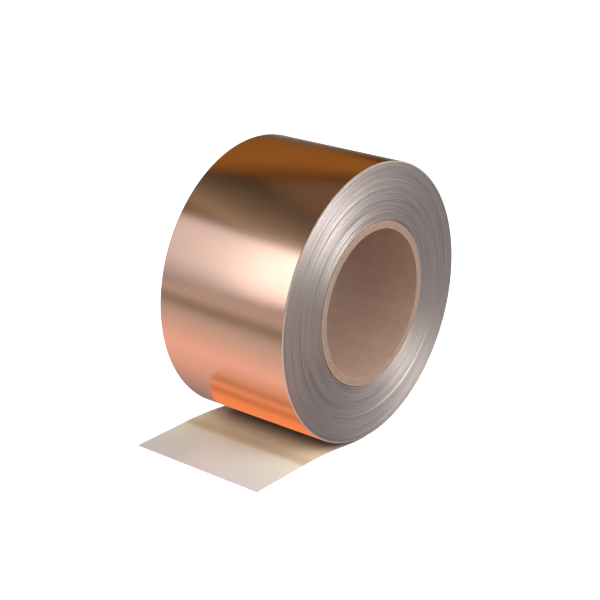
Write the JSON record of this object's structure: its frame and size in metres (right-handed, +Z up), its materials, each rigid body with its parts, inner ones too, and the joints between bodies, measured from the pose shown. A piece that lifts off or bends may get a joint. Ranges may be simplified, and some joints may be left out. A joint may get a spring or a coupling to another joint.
{
  "type": "copper foil tape roll",
  "caption": "Wide copper foil tape with adhesive and paper liner, wound on a paperboard core, with a short loose end paid out from under the roll.",
  "frame": {"origin": "on the table, in the middle of the line on which the roll stands", "axes": "+Z up, Y along the roll's axis, -X the way that the tape pays out, and -Y the end of the roll that the leader's near edge is on"},
  "size_m": [0.1574, 0.0768, 0.1429],
  "materials": {
    "copper_foil": "polished copper",
    "wound_edge": "satin, finely ribbed wound edges",
    "adhesive": "tacky, translucent",
    "release_liner": "silicone coated, semi-gloss",
    "paperboard": "matt, cut plies",
    "core_paper": "smooth kraft paper"
  },
  "bodies": {
    "outer_turn": {"outer_turn_foil": "copper_foil", "outer_turn_adhesive": "adhesive", "outer_turn_liner": "release_liner"},
    "roll": {"core_lining_ply": "core_paper", "core_board_ply_1": "paperboard", "core_board_ply_2": "paperboard", "core_board_ply_3": "paperboard", "core_board_ply_4": "paperboard", "core_cover_ply": "core_paper", "core_starter_tape": "release_liner", "wound_liner": "release_liner", "wound_adhesive": "adhesive", "wound_foil": "wound_edge"},
    "leader": {"leader_foil": "copper_foil", "leader_adhesive": "adhesive", "leader_liner": "release_liner"},
    "free_end": {"free_end_foil": "copper_foil", "free_end_adhesive": "adhesive", "free_end_liner": "release_liner"},
    "liner_tab": {"liner_tab": "release_liner"}
  },
  "joints": [
    {"name": "roll_turn", "type": "hinge", "parent": "outer_turn", "child": "roll", "pos_m": [0, 0, 0.0715], "axis": [0, 1, 0], "range_deg": [0, 180]},
    {"name": "leader_slide", "type": "slide", "parent": "outer_turn", "child": "leader", "axis": [-1, 0, 0], "range_m": [0, 0.2247]},
    {"name": "free_end_lift", "type": "hinge", "parent": "leader", "child": "free_end", "pos_m": [-0.05815, 0, 0.00146], "axis": [0, 1, 0], "range_deg": [0, 60]},
    {"name": "liner_peel", "type": "hinge", "parent": "free_end", "child": "liner_tab", "pos_m": [-0.07025, 0, 0.00093], "axis": [0, 1, 0], "range_deg": [0, 150]}
  ],
  "couplings": [
    {"joint": "leader_slide", "follows": "roll_turn", "m_per_rad": 0.0715}
  ]
}
